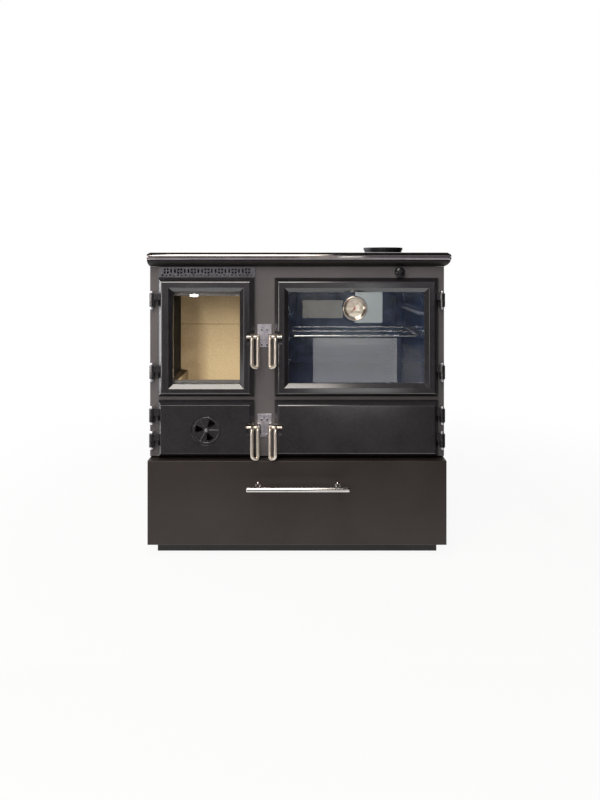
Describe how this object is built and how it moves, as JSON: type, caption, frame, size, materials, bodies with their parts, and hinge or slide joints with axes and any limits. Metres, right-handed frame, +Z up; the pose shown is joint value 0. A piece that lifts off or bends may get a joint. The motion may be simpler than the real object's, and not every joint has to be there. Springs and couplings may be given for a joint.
{
  "type": "wood stove with oven",
  "caption": "Wood-burning cooking stove with a glazed firebox door, a glazed oven door, ash and soot doors, a wood drawer and a cooking plate with a flue spigot.",
  "frame": {"origin": "on the floor, under the middle of the stove's bounding box", "axes": "+X to the viewer's right, +Y to the back, +Z up; the doors face -Y"},
  "size_m": [0.86, 0.64, 0.883],
  "materials": {
    "body_paint": "anthracite textured paint",
    "door_paint": "hammered charcoal enamel paint on cast iron",
    "drawer_paint": "hammered brown-grey paint",
    "black_paint": "matt black paint",
    "polished_steel": "polished stainless steel",
    "chrome": "bright chrome plate",
    "hob_iron": "ground and oiled cast iron",
    "raw_iron": "raw cast iron and heated plate steel",
    "oven_enamel": "dark blue vitreous enamel",
    "firebrick": "rough tan firebrick",
    "zinc_sheet": "galvanised sheet steel",
    "rope_seal": "braided glass-fibre rope",
    "window_glass": "clear heat-proof glass",
    "dial_face": "printed white dial",
    "needle_red": "red paint"
  },
  "bodies": {
    "stove_body": {"plinth": "black_paint", "hearth_plate": "zinc_sheet", "side_panel_left": "body_paint", "side_panel_right": "body_paint", "back_panel": "zinc_sheet", "front_plate": "body_paint", "cornice_moulding": "black_paint", "top_trim_frame": "polished_steel", "hob_plate": "hob_iron", "flue_collar": "hob_iron", "vent_grille": "door_paint", "firebox_shell": "raw_iron", "firebrick_back": "firebrick", "firebrick_left": "firebrick", "firebrick_right": "firebrick", "fire_grate": "raw_iron", "ash_pan": "zinc_sheet", "oven_box": "oven_enamel", "oven_rack": "chrome", "flue_duct": "raw_iron", "drawer_runner_left": "zinc_sheet", "drawer_runner_right": "zinc_sheet", "keeper_upper": "chrome", "keeper_lower": "chrome", "firebox_door_hinge_pin_upper": "chrome", "firebox_door_hinge_pin_lower": "chrome", "oven_door_hinge_pin_upper": "chrome", "oven_door_hinge_pin_lower": "chrome", "ash_door_hinge_pin_upper": "chrome", "ash_door_hinge_pin_lower": "chrome", "soot_door_hinge_pin_upper": "chrome", "soot_door_hinge_pin_lower": "chrome"},
    "hob_ring_body": {"hob_ring": "hob_iron"},
    "hob_lid_body": {"hob_lid": "hob_iron"},
    "firebox_door": {"firebox_door_frame": "door_paint", "firebox_door_glass": "window_glass", "firebox_door_glass_retainer": "zinc_sheet", "firebox_door_seal": "rope_seal"},
    "oven_door": {"oven_door_frame": "door_paint", "oven_door_glass": "window_glass", "oven_door_glass_retainer": "zinc_sheet", "oven_door_seal": "rope_seal", "thermometer_case": "chrome", "thermometer_dial": "dial_face"},
    "ash_door": {"ash_door_panel": "door_paint", "ash_door_seal": "rope_seal", "rosette_screw": "chrome"},
    "soot_door": {"soot_door_panel": "door_paint", "soot_door_seal": "rope_seal"},
    "firebox_latch": {"firebox_door_latch": "chrome"},
    "oven_latch": {"oven_door_latch": "chrome"},
    "ash_latch": {"ash_door_latch": "chrome"},
    "soot_latch": {"soot_door_latch": "chrome"},
    "rosette": {"air_rosette": "door_paint"},
    "needle": {"thermometer_needle": "needle_red"},
    "damper": {"damper_plate": "raw_iron", "damper_knob": "black_paint"},
    "drawer": {"drawer_front": "drawer_paint", "drawer_box": "zinc_sheet", "drawer_handle": "polished_steel"}
  },
  "joints": [
    {"name": "firebox_door_hinge", "type": "hinge", "parent": "stove_body", "child": "firebox_door", "pos_m": [-0.412, -0.2455, 0.6195], "axis": [0, 0, -1], "range_deg": [0, 110]},
    {"name": "oven_door_hinge", "type": "hinge", "parent": "stove_body", "child": "oven_door", "pos_m": [0.412, -0.2455, 0.6195], "axis": [0, 0, 1], "range_deg": [0, 110]},
    {"name": "ash_door_hinge", "type": "hinge", "parent": "stove_body", "child": "ash_door", "pos_m": [-0.412, -0.2455, 0.3605], "axis": [0, 0, -1], "range_deg": [0, 110]},
    {"name": "soot_door_hinge", "type": "hinge", "parent": "stove_body", "child": "soot_door", "pos_m": [0.412, -0.2455, 0.3605], "axis": [0, 0, 1], "range_deg": [0, 110]},
    {"name": "firebox_latch_turn", "type": "hinge", "parent": "firebox_door", "child": "firebox_latch", "pos_m": [-0.122, -0.25, 0.6205], "axis": [-1, 0, 0], "range_deg": [0, 60]},
    {"name": "oven_latch_turn", "type": "hinge", "parent": "oven_door", "child": "oven_latch", "pos_m": [-0.064, -0.25, 0.6205], "axis": [-1, 0, 0], "range_deg": [0, 60]},
    {"name": "ash_latch_turn", "type": "hinge", "parent": "ash_door", "child": "ash_latch", "pos_m": [-0.122, -0.25, 0.3645], "axis": [-1, 0, 0], "range_deg": [0, 60]},
    {"name": "soot_latch_turn", "type": "hinge", "parent": "soot_door", "child": "soot_latch", "pos_m": [-0.064, -0.25, 0.3645], "axis": [-1, 0, 0], "range_deg": [0, 60]},
    {"name": "air_rosette_turn", "type": "hinge", "parent": "ash_door", "child": "rosette", "pos_m": [-0.256, -0.2581, 0.359], "axis": [0, 1, 0], "range_deg": [0, 60]},
    {"name": "damper_slide", "type": "slide", "parent": "stove_body", "child": "damper", "axis": [0, -1, 0], "range_m": [0, 0.1]},
    {"name": "drawer_slide", "type": "slide", "parent": "stove_body", "child": "drawer", "axis": [0, -1, 0], "range_m": [0, 0.38]},
    {"name": "hob_ring_lift", "type": "slide", "parent": "stove_body", "child": "hob_ring_body", "axis": [0, 0, 1], "range_m": [0, 0.1]},
    {"name": "hob_lid_lift", "type": "slide", "parent": "hob_ring_body", "child": "hob_lid_body", "axis": [0, 0, 1], "range_m": [0, 0.1]},
    {"name": "thermometer_needle_turn", "type": "hinge", "parent": "oven_door", "child": "needle", "pos_m": [0.1635, -0.2527, 0.702], "axis": [0, 1, 0], "range_deg": [0, 270], "stiffness_Nm_per_rad": 0.001}
  ]
}
